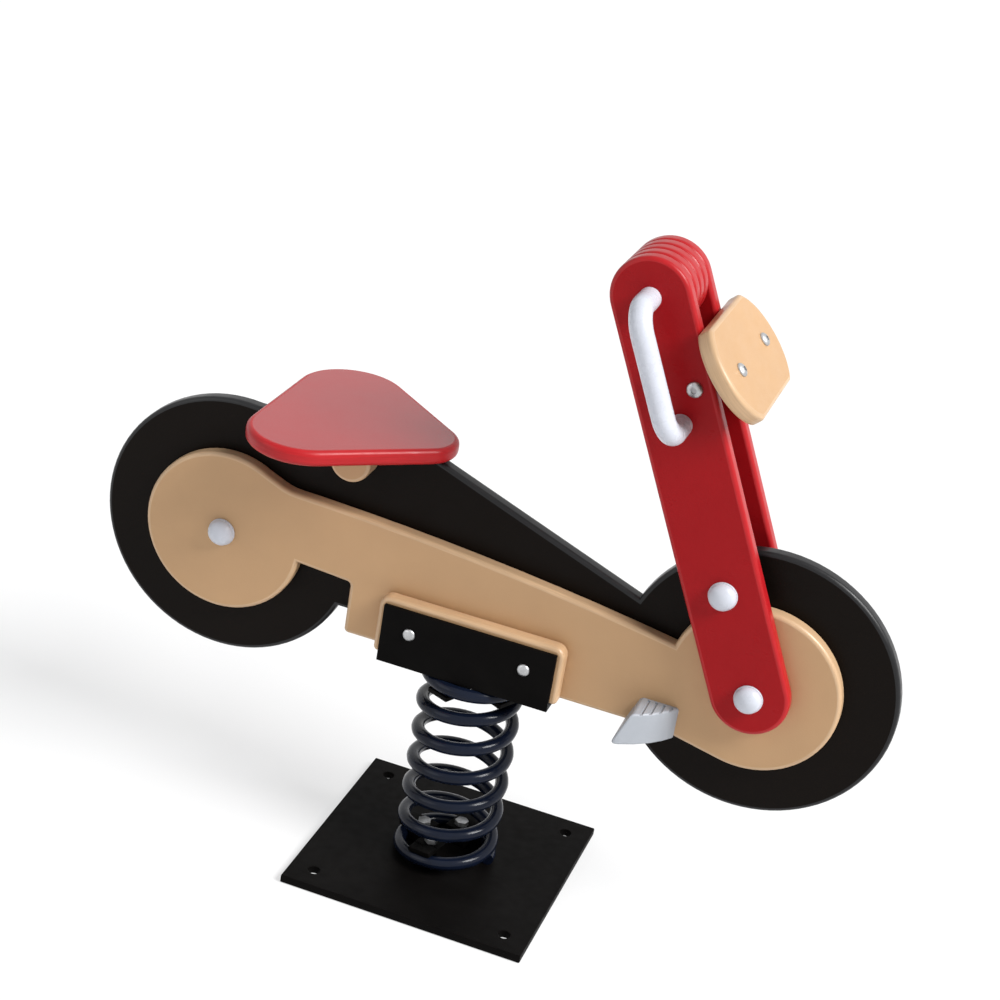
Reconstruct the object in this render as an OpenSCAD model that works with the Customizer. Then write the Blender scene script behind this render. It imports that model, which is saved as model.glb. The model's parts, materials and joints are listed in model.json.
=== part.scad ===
// Spring rider in the shape of a motorcycle: flat plastic sheets bolted together on a coil spring.
// Lengths are in millimetres. +X is forwards, +Y is to the rider's left and +Z is up.
// The origin is under the spring, on the underside of the base plate.

/* [Sheet] */
// Thickness of the plastic sheet that all panels are cut from
sheet_t = 19; // [12:0.5:25]

/* [Wheels] */
// Distance between the two wheel centres
wheelbase = 648; // [580:1:720]
// Radius of the wheel discs of the centre panel
wheel_r = 160; // [150:1:180]
// Radius of the hub discs of the side panels
hub_r = 99; // [85:1:110]

/* [Body] */
// Depth of the panels below the wheel centres, where they stand on the bracket
belly_drop = 82; // [70:1:95]
// Length of the flat top edge under the seat, from the rear wheel's centre
tank_l = 235; // [215:1:260]
// Height above the wheel centres at which the body's top edge meets the front wheel
neck_h = 60; // [45:1:75]
// Depth of the side panel's top edge below the top of the rear hub disc
side_rear_drop = 24; // [18:1:32]
// Height above the wheel centres at which the side panel's top edge meets the front hub disc
side_front_h = 27; // [18:1:40]
// Rise of the side panel's bowed top edge above its chord
side_bow = 8; // [2:0.5:14]
// Distance from the rear wheel's centre to the front of the notch
notch_l = 166; // [150:1:175]
// Depth of the notch's top edge below the wheel centres
notch_drop = 12; // [5:0.5:20]

/* [Fork] */
// Distance between the round ends' centres of a fork panel
fork_l = 462; // [420:1:500]
// Radius of the fork panel's round ends
fork_r = 45; // [40:0.5:52]
// Angle of the fork from upright, in degrees
fork_rake = 24.8; // [20:0.1:30]
// Radius of the round spacers between the fork panels and the front wheel
low_spacer_r = 23; // [18:0.5:26]

/* [Handles] */
// Diameter of the handle's tube
handle_d = 25; // [20:0.5:32]
// Distance from the fork's face to the middle of the grip
handle_reach = 52; // [46:0.5:70]
// Distance between the handle's two legs
handle_span = 141; // [120:1:170]
// Radius of the handle's bends, at the middle of the tube
handle_bend_r = 27; // [24:0.5:32]

/* [Headlight] */
// Height of the headlight plate
light_h = 110; // [94:1:120]
// Width of the headlight plate at its middle
light_w = 202; // [180:1:240]
// Radius of the plate's bowed sides
light_side_r = 61.5; // [58:0.5:75]
// Distance from the middle of the fork's round top down to the plate's middle, along the fork
light_down = 96; // [84:1:108]
// Angle of the plate from the fork, in degrees
light_lean = 18; // [13:0.5:24]
// Distance between the two bolts of the plate
light_bolt_gap = 110; // [104:1:124]

/* [Seat] */
// Length of the seat
seat_l = 223; // [200:1:250]
// Width of the seat
seat_w = 270; // [240:1:300]
// Radius of the seat's rear corners
seat_corner_r = 65; // [50:1:80]
// Radius of the seat's nose
seat_nose_r = 45; // [35:1:60]
// Distance from the rear wheel's centre to the seat's rear edge
seat_rear_x = 37; // [25:1:50]
// Radius of the round blocks that carry the seat
seat_block_r = 25; // [22:0.5:30]
// Length of one block, from the centre panel outwards
seat_block_l = 28.5; // [26:0.5:40]

/* [Footrests] */
// Height of a footrest
foot_h = 40; // [34:0.5:46]
// Distance that a footrest's rear end stands out from the side panel
foot_reach = 54; // [46:0.5:65]
// Length of a footrest along the panel, at half its height
foot_l = 53; // [46:0.5:62]
// Distance from the front wheel's centre back to the front of the footrest
foot_back = 75; // [68:0.5:85]
// Height of the footrest's underside above the lowest point of the front hub
foot_above = 11.5; // [7:0.5:19]
// Radius of the footrest's swept outline, seen from above
foot_sweep_r = 125; // [100:1:150]

/* [Saddle bracket] */
// Length of the bracket and of its side plates
saddle_l = 210; // [190:1:230]
// Height of the bracket's side plates, from the underside of its web
saddle_h = 73; // [64:1:84]
// Thickness of the side plates
saddle_side_t = 5; // [4:0.5:8]
// Thickness of the web that the spring is clamped to
saddle_web_t = 8; // [6:0.5:12]
// Distance between the two cross bolts
saddle_bolt_gap = 140; // [120:1:160]
// Margin of the doubler pad around the bracket's side plate
doubler_margin = 8; // [4:0.5:14]

/* [Spring] */
// Diameter of the spring's wire
wire_d = 16; // [12:0.5:18]
// Outside diameter of the spring
spring_od = 126; // [118:1:140]
// Open space between two turns
spring_open = 24; // [22:0.5:32]
// Number of open turns
spring_turns = 6.1; // [5.1:0.25:7.1]

/* [Base] */
// Length and width of the base plate
base_w = 300; // [260:1:400]
// Thickness of the base plate
base_t = 10; // [8:0.5:16]
// Distance between the anchor holes, both ways
anchor_gap = 240; // [200:1:250]
// Diameter of the anchor holes
anchor_d = 14; // [11:0.5:18]

/* [Hidden] */

// Facets of a full circle, and of one rounded corner
$fn = 72;
corner_steps = 6;

// Clearances: between a bolt and its hole, between bodies that rest on each other, and in a tapped hole
bolt_gap = 0.3;
rest_gap = 0.3;
thread_gap = 0.05;
// Overrun of every cut, and lap of shapes that are joined into one
over = 2;
lap = 2;

// Bolt sizes: radius, and radius and height of the head and of the nut
hub_bolt_r = 6;
hub_head_r = 10.4;
hub_head_h = 7.5;
hub_nut_h = 8;
hub_bolt_end = 1;
cross_bolt_r = 5;
cross_head_r = 9;
cross_head_h = 6;
saddle_bolt_r = 4;
saddle_head_r = 7.5;
saddle_head_h = 4.5;
light_bolt_r = 4;
light_head_r = 8;
light_head_h = 5;
light_nut_r = 6.5;
light_nut_h = 6.5;
light_bolt_end = 2;
clip_bolt_r = 5;
clip_head_r = 8.5;
clip_head_h = 6.5;
clip_bolt_margin = 1;
rod_r = 5;
rod_end = 24;
stud_r = 4;
stud_end = 14;
seat_bolt_r = 5;
seat_bolt_head_r = 8.5;
seat_bolt_head_h = 6.5;
seat_bolt_sink = 9;
seat_bolt_pocket_r = 11;
screw_r = 3;
screw_head_r = 5.5;
screw_head_h = 4;
screw_in_seat = 11;
screw_hole_spare = 2;
screw_spread = 10;
screw_sink_h = 12;

// Caps over the hub and fork bolts
cap_r = 16.5;
cap_h = 15;
cap_wall = 2.5;
cap_rim_h = 4;

// Layers of the sheets, measured sideways from the middle
core_y = sheet_t / 2;
side_y = core_y + sheet_t;
outer_y = side_y + sheet_t;
saddle_y = outer_y + saddle_side_t;

// Spring: flat end turns, a short bend and the open turns between them
wire_r = wire_d / 2;
coil_r = spring_od / 2 - wire_r;
flat_share = 0.52;
bend_share = 0.05;
turn_rings = 24;
wire_sides = 6;
all_turns = spring_turns + 2 * flat_share;
ring_count = ceil(all_turns * turn_rings);
spring_pitch = wire_d + spring_open;
spring_h = wire_d + (spring_turns - bend_share) * spring_pitch;

// Heights: the spring stands on the base plate and carries the bracket's web
spring_z = base_t + rest_gap;
web_z = spring_z + spring_h + rest_gap;
belly_z = web_z + saddle_web_t;
axle_z = belly_z + belly_drop;
rear_x = -wheelbase / 2;
front_x = wheelbase / 2;

// Body: the step in front of the rear wheel, and the corners of the panels
step_l = 172;
step_drop = 62;
step_slope = 6;
panel_corner_r = 5.5;
tank_corner_r = 45;
tank_inset = 1;
seat_z = axle_z + wheel_r - tank_inset;

// Side panel: where its edges leave the hubs, in degrees round the hub, and its fillets
hub_leave_angle = 62;
hub_meet_angle = 258;
hub_fillet_r = 60;
chin_fillet_r = 40;
notch_corner_r = 5;
notch_tilt = 5;
bow_steps = 10;
doubler_corner_r = 13;

// Fork: the upper bolt clears the hub disc by the spacer's own radius
low_spacer_gap = 1.5;
fork_up_s = hub_r + low_spacer_gap + low_spacer_r;
handle_low_s = fork_l - handle_span;
handle_spacer_r = 12;

// Headlight bracket: its flange, its cheeks and the cross bolt through the fork
light_flange_t = 4;
light_flange_w = 150;
light_flange_h = 40;
light_cheek_t = 4;
light_cheek_r = 13;
light_s = fork_l - light_down;
light_cross_drop = 9;
light_cross_s = light_s - light_cross_drop;
light_cross_d = 24;
light_d = fork_r + light_h / 2 * sin(light_lean) + rest_gap;
light_side_y = light_w / 2 - light_side_r;

// Seat: the middle of the block under it
seat_mid_x = rear_x + seat_rear_x + seat_l / 2;
seat_block_top_cut = 3;
seat_block_z = seat_z - seat_block_r + seat_block_top_cut;
seat_bolt_drop = 15;
seat_block_y = core_y + seat_block_l;
seat_pocket_y = seat_block_y - seat_bolt_sink;

// Footrest: its rear end slants, and its outline from above is an arc from the panel at the front out to
// the tip of the rear end
foot_front_x = front_x - foot_back;
foot_z = axle_z - hub_r + foot_above;
foot_slant = 16.5;
foot_tip_l = foot_l + foot_slant / 2;
foot_chord = norm([foot_tip_l, foot_reach]);
foot_sweep_in = chord(foot_sweep_r, foot_chord / 2);
foot_sweep_x = foot_tip_l / 2 + foot_sweep_in * foot_reach / foot_chord;
foot_sweep_y = foot_reach / 2 - foot_sweep_in * foot_tip_l / foot_chord;
foot_edge_r = 6;
foot_groove_w = 3;
foot_groove_h = 1.5;
foot_groove_gap = 9;
foot_grooves = 4;
foot_stud_in = 17;
foot_stud_gap = 25;
foot_stud_h = 19;

// Clips that hold the spring's end turns, at these shares of a turn from the wire's end
clip_shares = [0.21, 0.46, 0.71];
clip_w = 30;
clip_t = 6;
clip_in_r = 20;
clip_lip = 5;

clip_out_r = (coil_r - wire_r) * cos(180 / turn_rings) - rest_gap;
clip_bolt_x = (clip_in_r + clip_out_r) / 2;

// Colours
black = [0.07, 0.07, 0.07];
tan = [0.78, 0.62, 0.42];
red = [0.66, 0.09, 0.12];
white = [0.88, 0.89, 0.92];
steel = [0.62, 0.62, 0.62];

// Vectors and outlines

function unit(v) = v / norm(v);

// Half the chord of a circle at a height above its middle
function chord(r, h) = sqrt(r * r - h * h);

// Points of an arc about a centre, from one angle to another
function arc(c, r, a0, a1, steps) =
    [for (i = [0:steps]) c + r * [cos(a0 + (a1 - a0) * i / steps), sin(a0 + (a1 - a0) * i / steps)]];

// One corner of an outline, rounded with radius r
function corner(before, at, after, r) =
    let (
        u = unit(before - at),
        v = unit(after - at),
        half = acos(u * v) / 2,
        c = at + unit(u + v) * r / sin(half),
        s = at + u * r / tan(half) - c,
        e = at + v * r / tan(half) - c,
        a0 = atan2(s.y, s.x),
        a = atan2(s.x * e.y - s.y * e.x, s * e)
    )
    arc(c, r, a0, a0 + a, corner_steps);

// An outline from points [x, y, corner radius]
function outline(pts) =
    let (n = len(pts))
    [for (i = [0:n - 1])
        let (
            p = [pts[i].x, pts[i].y],
            b = [pts[(i + n - 1) % n].x, pts[(i + n - 1) % n].y],
            a = [pts[(i + 1) % n].x, pts[(i + 1) % n].y]
        )
        each (pts[i].z > 0 ? corner(b, p, a, pts[i].z) : [p])];

// Places and basic shapes

// A flat sheet from y to y + t, drawn in X and Z
module sheet(y, t) {
    translate([0, y + t, 0]) rotate([90, 0, 0]) linear_extrude(t) children();
}

// The fork's own frame: X is forwards across the fork, Z runs up along it
module at_fork(s = 0, d = 0) {
    translate([front_x, 0, axle_z]) rotate([0, -fork_rake, 0]) translate([d, 0, s]) children();
}

// The headlight plate's own frame: X is out of its back face
module at_light() {
    at_fork(light_s, light_d) rotate([0, -light_lean, 0]) children();
}

// A cylinder along Y, from y0 to y1
module cross_rod(r, y0, y1) {
    translate([0, y0, 0]) rotate([-90, 0, 0]) cylinder(r = r, h = y1 - y0);
}

// A hexagon along Y, from y0 to y1, with its corners at radius r
module cross_hex(r, y0, y1) {
    translate([0, y0, 0]) rotate([-90, 0, 0]) cylinder(r = r, h = y1 - y0, $fn = 6);
}

// A low dome on Z = 0
module dome(r, h) {
    ball_r = (r * r + h * h) / (2 * h);
    intersection() {
        translate([0, 0, h - ball_r]) sphere(r = ball_r);
        cylinder(r = r, h = h);
    }
}

// A dome on the face at y, pointing to the right (-1) or to the left (1)
module cross_dome(r, h, y, way) {
    translate([0, y, 0]) rotate([-90 * way, 0, 0]) dome(r, h);
}

module left() {
    mirror([0, 1, 0]) children();
}

// Base

module anchor_places() {
    for (x = [-1, 1], y = [-1, 1]) translate([x * anchor_gap / 2, y * anchor_gap / 2, 0]) children();
}

module base_plate() {
    color(black) difference() {
        linear_extrude(base_t) square(base_w, center = true);
        translate([0, 0, -over]) anchor_places() cylinder(d = anchor_d, h = base_t + 2 * over);
        clip_places() translate([clip_bolt_x, 0, clip_bolt_margin])
            cylinder(r = clip_bolt_r + thread_gap, h = base_t + over);
    }
}

// Spring clips: a heel inside the spring, and a lip over its end turn

// Height of the wire's middle above the end turn, at a number of turns from the end
function rise(t) =
    let (u = max(0, min(t, all_turns / 2) - flat_share))
    spring_pitch * (u < bend_share ? u * u / (2 * bend_share) : u - bend_share / 2);

// Slope of the wire there, in degrees
function slope(t) = t < flat_share ? 0 : atan(spring_pitch / (2 * PI * coil_r));

module clip_places() {
    for (t = clip_shares) rotate([0, 0, 360 * t]) children();
}

module clips() {
    for (t = clip_shares) {
        wire_top = wire_d + rise(t) + 2 * rest_gap;
        rotate([0, 0, 360 * t]) difference() {
            union() {
                intersection() {
                    translate([clip_in_r, -clip_w / 2, 0])
                        cube([clip_out_r - clip_in_r + lap, clip_w, wire_top + clip_t]);
                    translate([0, 0, -over]) cylinder(r = clip_out_r, h = wire_top + clip_t + 2 * over);
                }
                translate([clip_out_r - 2 * lap, 0, wire_top]) rotate([slope(t), 0, 0])
                    translate([0, -clip_w / 2, 0])
                        cube([wire_r + clip_lip + 2 * lap, clip_w, clip_t]);
            }
            translate([clip_bolt_x, 0, -over])
                cylinder(r = clip_bolt_r + bolt_gap, h = wire_top + clip_t + 2 * over);
        }
    }
}

// The clips' bolts, which reach a depth below the clips into the plate that they are tapped into
module clip_bolts(depth) {
    for (t = clip_shares) {
        top = wire_d + rise(t) + 2 * rest_gap + clip_t;
        rotate([0, 0, 360 * t]) translate([clip_bolt_x, 0, 0]) {
            translate([0, 0, -depth]) cylinder(r = clip_bolt_r, h = depth + top);
            translate([0, 0, top]) cylinder(r = clip_head_r, h = clip_head_h, $fn = 6);
        }
    }
}

// The upper end is the lower end turned over about the X axis, and round to where the wire ends
module upper_end() {
    translate([0, 0, web_z]) rotate([0, 0, 360 * all_turns]) rotate([180, 0, 0]) children();
}

module lower_clips() {
    color(black) translate([0, 0, base_t]) clips();
}

module lower_clip_bolts() {
    color(steel) translate([0, 0, base_t]) clip_bolts(base_t - 2 * clip_bolt_margin);
}

module upper_clips() {
    color(black) upper_end() clips();
}

module upper_clip_bolts() {
    color(steel) upper_end() clip_bolts(saddle_web_t - clip_bolt_margin);
}

// Coil spring: one tube swept along the wire's middle

function wire_z(t) =
    spring_z + wire_r + (t < all_turns / 2 ? rise(t) : spring_h - wire_d - rise(all_turns - t));

function wire_at(t) = [coil_r * cos(360 * t), coil_r * sin(360 * t), wire_z(t)];

function wire_ring(t) =
    [for (k = [0:wire_sides - 1])
        let (a = 90 + 360 * k / wire_sides, r = coil_r + wire_r * cos(a))
        [r * cos(360 * t), r * sin(360 * t), wire_z(t) + wire_r * sin(a)]];

// Least distance between the surfaces of turns that lie over each other, measured on the rings
function self_gap() =
    let (mids = [for (i = [0:ring_count]) wire_at(all_turns * i / ring_count)])
    min([for (i = [0:ring_count], j = [i + floor(turn_rings / 2):1:ring_count])
        norm(mids[j] - mids[i])]) - wire_d;

module coil_spring() {
    echo(coil_spring_gap_to_itself = self_gap());
    rings = [for (i = [0:ring_count]) each wire_ring(all_turns * i / ring_count)];
    last = ring_count * wire_sides;
    walls = [for (i = [0:ring_count - 1], k = [0:wire_sides - 1])
        let (
            a = i * wire_sides + k,
            b = i * wire_sides + (k + 1) % wire_sides
        )
        each [[a, b, b + wire_sides], [a, b + wire_sides, a + wire_sides]]];
    ends = [for (k = [1:wire_sides - 2]) each [[0, k + 1, k], [last, last + k, last + k + 1]]];
    color(black) polyhedron(points = rings, faces = concat(walls, ends));
}

// Saddle bracket and its bolts

module saddle_places() {
    for (x = [-1, 1])
        translate([x * saddle_bolt_gap / 2, 0, (belly_z + web_z + saddle_h) / 2 + saddle_bolt_r])
            children();
}

module saddle_bracket() {
    color(black) difference() {
        translate([0, 0, web_z]) difference() {
            translate([-saddle_l / 2, -saddle_y, 0]) cube([saddle_l, 2 * saddle_y, saddle_h]);
            translate([-saddle_l / 2 - over, -outer_y, saddle_web_t])
                cube([saddle_l + 2 * over, 2 * outer_y, saddle_h]);
        }
        saddle_places() cross_rod(saddle_bolt_r + bolt_gap, -saddle_y - over, saddle_y + over);
        upper_end() clip_places() translate([clip_bolt_x, 0, -saddle_web_t - over])
            cylinder(r = clip_bolt_r + thread_gap, h = saddle_web_t + 2 * over);
    }
}

module saddle_bolts() {
    color(steel) saddle_places() {
        cross_rod(saddle_bolt_r, -saddle_y, saddle_y + saddle_head_h / 2);
        cross_dome(saddle_head_r, saddle_head_h, -saddle_y, -1);
    }
}

module saddle_nuts() {
    color(steel) saddle_places() difference() {
        cross_dome(saddle_head_r, saddle_head_h, saddle_y, 1);
        cross_rod(saddle_bolt_r + thread_gap, saddle_y - over, saddle_y + saddle_head_h / 2);
    }
}

// Places of the bolts that go across the panels

module rear_hub_place() {
    translate([rear_x, 0, axle_z]) children();
}

module fork_bolt_places() {
    for (s = [0, fork_up_s]) at_fork(s) children();
}

module handle_places() {
    for (s = [handle_low_s, fork_l]) at_fork(s) children();
}

module light_cross_place() {
    at_fork(light_cross_s, light_cross_d) children();
}

module seat_bolt_place() {
    translate([seat_mid_x, 0, seat_z - seat_bolt_drop]) children();
}

module foot_stud_places() {
    for (x = [foot_stud_in, foot_stud_in + foot_stud_gap])
        translate([foot_front_x - x, 0, foot_z + foot_stud_h]) children();
}

// Holes through all panels, where bolts, rods and studs cross them
module panel_holes() {
    saddle_places() cross_rod(saddle_bolt_r + bolt_gap, -saddle_y, saddle_y);
    rear_hub_place() cross_rod(hub_bolt_r + bolt_gap, -saddle_y, saddle_y);
    fork_bolt_places() cross_rod(hub_bolt_r + bolt_gap, -saddle_y, saddle_y);
    handle_places() cross_rod(rod_r + bolt_gap, -saddle_y, saddle_y);
    light_cross_place() cross_rod(cross_bolt_r + bolt_gap, -saddle_y, saddle_y);
    seat_bolt_place() cross_rod(seat_bolt_r + bolt_gap, -saddle_y, saddle_y);
    foot_stud_places() cross_rod(stud_r + bolt_gap, -saddle_y, saddle_y);
}

// Panels

// Both wheels and the body between them, drawn in X and Z
module centre_outline() {
    for (x = [rear_x, front_x]) translate([x, axle_z]) circle(r = wheel_r);
    polygon(outline([
        [rear_x, axle_z, 0],
        [rear_x + wheel_r / 2, axle_z - step_drop, 0],
        [rear_x + step_l, axle_z - step_drop, panel_corner_r],
        [rear_x + step_l + step_slope, belly_z, panel_corner_r],
        [front_x, belly_z, 0],
        [front_x, axle_z, 0],
        [front_x - chord(wheel_r, neck_h) + lap, axle_z + neck_h, 0],
        [rear_x + tank_l, seat_z, tank_corner_r],
        [rear_x, seat_z, 0]
    ]));
}

module centre_panel() {
    color(black) difference() {
        sheet(-core_y, sheet_t) centre_outline();
        panel_holes();
    }
}

// Top edge of the side panel: a shallow arc from the front hub back to its rear end
function bow_points() =
    let (
        a = [front_x - chord(hub_r, side_front_h) + lap, axle_z + side_front_h],
        b = [rear_x + hub_r * cos(hub_leave_angle) + hub_fillet_r / 2, axle_z + hub_r - side_rear_drop]
    )
    [for (i = [0:bow_steps])
        let (k = i / bow_steps)
        [a.x + (b.x - a.x) * k, a.y + (b.y - a.y) * k + side_bow * 4 * k * (1 - k),
            i == bow_steps ? hub_fillet_r : 0]];

module side_outline() {
    for (x = [rear_x, front_x]) translate([x, axle_z]) circle(r = hub_r);
    leave = [rear_x, axle_z] + hub_r * [cos(hub_leave_angle), sin(hub_leave_angle)];
    meet = [front_x, axle_z] + hub_r * [cos(hub_meet_angle), sin(hub_meet_angle)];
    chin_x = meet.x - (belly_z - meet.y) * tan(hub_meet_angle - 180);
    polygon(outline(concat(
        [
            [rear_x, axle_z, 0],
            [rear_x + chord(hub_r, notch_drop) - lap, axle_z - notch_drop, 0],
            [rear_x + notch_l, axle_z - notch_drop - notch_tilt, notch_corner_r],
            [rear_x + notch_l, belly_z, panel_corner_r],
            [chin_x, belly_z, chin_fillet_r],
            [meet.x, meet.y, 0],
            [front_x, axle_z, 0]
        ],
        bow_points(),
        [[leave.x, leave.y, 0]]
    )));
}

module side_panel() {
    color(tan) difference() {
        sheet(-side_y, sheet_t) side_outline();
        panel_holes();
    }
}

module side_panel_right() {
    side_panel();
}

module side_panel_left() {
    left() side_panel();
}

module doubler() {
    half = saddle_l / 2 + doubler_margin;
    top_z = web_z + saddle_h + doubler_margin;
    color(tan) difference() {
        sheet(-outer_y, sheet_t) polygon(outline([
            [-half, belly_z, panel_corner_r],
            [half, belly_z, panel_corner_r],
            [half, top_z, doubler_corner_r],
            [-half, top_z, doubler_corner_r]
        ]));
        panel_holes();
    }
}

module doubler_right() {
    doubler();
}

module doubler_left() {
    left() doubler();
}

// Fork

module fork_outline() {
    for (s = [0, fork_l]) translate([0, s]) circle(r = fork_r);
    translate([-fork_r, 0]) square([2 * fork_r, fork_l]);
}

module fork_panel() {
    color(red) difference() {
        at_fork() sheet(-outer_y, sheet_t) fork_outline();
        panel_holes();
    }
}

module fork_panel_right() {
    fork_panel();
}

module fork_panel_left() {
    left() fork_panel();
}

// Three discs fill the space between the fork panels at the top
module fork_spacer(y) {
    color(red) difference() {
        at_fork(fork_l) cross_rod(fork_r, y, y + sheet_t);
        panel_holes();
    }
}

module fork_spacer_right() {
    fork_spacer(-side_y);
}

module fork_spacer_middle() {
    fork_spacer(-core_y);
}

module fork_spacer_left() {
    fork_spacer(core_y);
}

// Two discs fill the space between the fork panels and the front wheel
module fork_low_spacers() {
    color(black) for (y = [-side_y, core_y]) difference() {
        at_fork(fork_up_s) cross_rod(low_spacer_r, y, y + sheet_t);
        panel_holes();
    }
}

// A hub bolt from the face at -y to the nut on the face at y
module hub_bolt(y) {
    cross_hex(hub_head_r, -y - hub_head_h, -y);
    cross_rod(hub_bolt_r, -y, y + hub_nut_h + hub_bolt_end);
}

module hub_nut(y) {
    difference() {
        cross_hex(hub_head_r, y, y + hub_nut_h);
        cross_rod(hub_bolt_r + thread_gap, y - over, y + hub_nut_h + over);
    }
}

module fork_bolts() {
    color(steel) fork_bolt_places() hub_bolt(outer_y);
}

module rear_hub_bolt() {
    color(steel) rear_hub_place() hub_bolt(side_y);
}

module hub_nuts() {
    color(steel) {
        rear_hub_place() hub_nut(side_y);
        fork_bolt_places() hub_nut(outer_y);
    }
}

// A hollow cap on the face at y, over a bolt's head or nut
module bolt_cap(y) {
    translate([0, y, 0]) rotate([-90, 0, 0]) difference() {
        union() {
            cylinder(r = cap_r, h = cap_rim_h);
            translate([0, 0, cap_rim_h]) dome(cap_r, cap_h - cap_rim_h);
        }
        translate([0, 0, -over]) cylinder(r = cap_r - cap_wall, h = over + cap_rim_h);
        translate([0, 0, cap_rim_h]) dome(cap_r - cap_wall, cap_h - cap_rim_h - cap_wall);
    }
}

module bolt_caps_left() {
    color(white) {
        rear_hub_place() bolt_cap(side_y);
        fork_bolt_places() bolt_cap(outer_y);
    }
}

module bolt_caps_right() {
    left() bolt_caps_left();
}

// Handles

// One bend of the handle, from its leg along Y into the grip along Z
module handle_elbow() {
    rotate([90, 0, -90]) rotate_extrude(angle = 90) translate([handle_bend_r, 0]) circle(d = handle_d);
}

// The left handle, in the fork's frame
module handle() {
    grip_y = outer_y + handle_reach;
    bend_y = grip_y - handle_bend_r;
    color(white) at_fork() difference() {
        union() {
            for (s = [handle_low_s, fork_l])
                translate([0, 0, s]) cross_rod(handle_d / 2, outer_y, bend_y);
            translate([0, bend_y, fork_l - handle_bend_r]) mirror([0, 1, 0]) handle_elbow();
            translate([0, bend_y, handle_low_s + handle_bend_r]) mirror([0, 0, 1]) mirror([0, 1, 0])
                handle_elbow();
            translate([0, grip_y, handle_low_s + handle_bend_r])
                cylinder(d = handle_d, h = handle_span - 2 * handle_bend_r);
        }
        for (s = [handle_low_s, fork_l])
            translate([0, 0, s]) cross_rod(rod_r + thread_gap, outer_y - over, outer_y + rod_end);
    }
}

module handle_left() {
    handle();
}

module handle_right() {
    left() handle();
}

// Threaded rods that run from one handle to the other
module handle_rods() {
    color(steel) handle_places() cross_rod(rod_r, -outer_y - rod_end, outer_y + rod_end);
}

module handle_spacer() {
    color(steel) difference() {
        at_fork(handle_low_s) cross_rod(handle_spacer_r, -side_y, side_y);
        panel_holes();
    }
}

// Headlight

module light_outline() {
    intersection() {
        square([light_w, light_h], center = true);
        union() {
            for (y = [-1, 1]) translate([y * light_side_y, 0]) circle(r = light_side_r);
            square([2 * light_side_y, 2 * light_side_r], center = true);
        }
    }
}

module light_bolt_places() {
    for (y = [-1, 1]) at_light() translate([0, y * light_bolt_gap / 2, 0]) rotate([0, 90, 0]) children();
}

module headlight_plate() {
    color(tan) difference() {
        at_light() rotate([90, 0, 90]) linear_extrude(sheet_t) light_outline();
        light_bolt_places() translate([0, 0, -over])
            cylinder(r = light_bolt_r + bolt_gap, h = sheet_t + 2 * over);
    }
}

// A flange behind the plate, and two cheeks that run back between the fork panels
module headlight_bracket() {
    reach_d = light_cross_d - light_d;
    reach_s = light_cross_s - light_s;
    bolt_x = reach_d * cos(light_lean) + reach_s * sin(light_lean);
    bolt_z = reach_s * cos(light_lean) - reach_d * sin(light_lean);
    color(steel) difference() {
        at_light() {
            translate([-light_flange_t, -light_flange_w / 2, -light_flange_h / 2])
                cube([light_flange_t, light_flange_w, light_flange_h]);
            for (y = [-side_y, side_y - light_cheek_t]) sheet(y, light_cheek_t) hull() {
                translate([bolt_x, bolt_z]) circle(r = light_cheek_r);
                translate([-light_flange_t, -light_flange_h / 2]) square([light_flange_t, light_flange_h]);
            }
        }
        light_cross_place() cross_rod(cross_bolt_r + bolt_gap, -side_y - over, side_y + over);
        light_bolt_places() translate([0, 0, -light_flange_t - over])
            cylinder(r = light_bolt_r + bolt_gap, h = light_flange_t + 2 * over);
    }
}

module headlight_bolts() {
    end = light_flange_t + light_nut_h + light_bolt_end;
    color(steel) light_bolt_places() {
        translate([0, 0, -end]) cylinder(r = light_bolt_r, h = end + sheet_t);
        translate([0, 0, sheet_t]) dome(light_head_r, light_head_h);
    }
}

module headlight_nuts() {
    color(steel) light_bolt_places() translate([0, 0, -light_flange_t - light_nut_h]) difference() {
        cylinder(r = light_nut_r, h = light_nut_h, $fn = 6);
        translate([0, 0, -over]) cylinder(r = light_bolt_r + thread_gap, h = light_nut_h + 2 * over);
    }
}

module headlight_cross_bolt() {
    color(steel) light_cross_place() {
        cross_rod(cross_bolt_r, -outer_y, outer_y + cross_head_h / 2);
        cross_dome(cross_head_r, cross_head_h, -outer_y, -1);
    }
}

module headlight_cross_nut() {
    color(steel) light_cross_place() difference() {
        cross_dome(cross_head_r, cross_head_h, outer_y, 1);
        cross_rod(cross_bolt_r + thread_gap, outer_y - over, outer_y + cross_head_h / 2);
    }
}

// Seat

module seat_outline() {
    rear = rear_x + seat_rear_x;
    hull() {
        for (y = [-1, 1])
            translate([rear + seat_corner_r, y * (seat_w / 2 - seat_corner_r)]) circle(r = seat_corner_r);
        translate([rear + seat_l - seat_nose_r, 0]) circle(r = seat_nose_r);
    }
}

// The screws stand in the middle of each block, before and behind its bolt
module seat_screw_places(sides) {
    for (x = [-1, 1], side = sides)
        translate([seat_mid_x + x * screw_spread, side * (core_y + seat_block_l / 2), seat_z]) children();
}

module seat() {
    color(red) difference() {
        translate([0, 0, seat_z]) linear_extrude(sheet_t) seat_outline();
        seat_screw_places([-1, 1]) translate([0, 0, -over])
            cylinder(r = screw_r + thread_gap, h = screw_in_seat + screw_hole_spare + over);
    }
}

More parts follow.
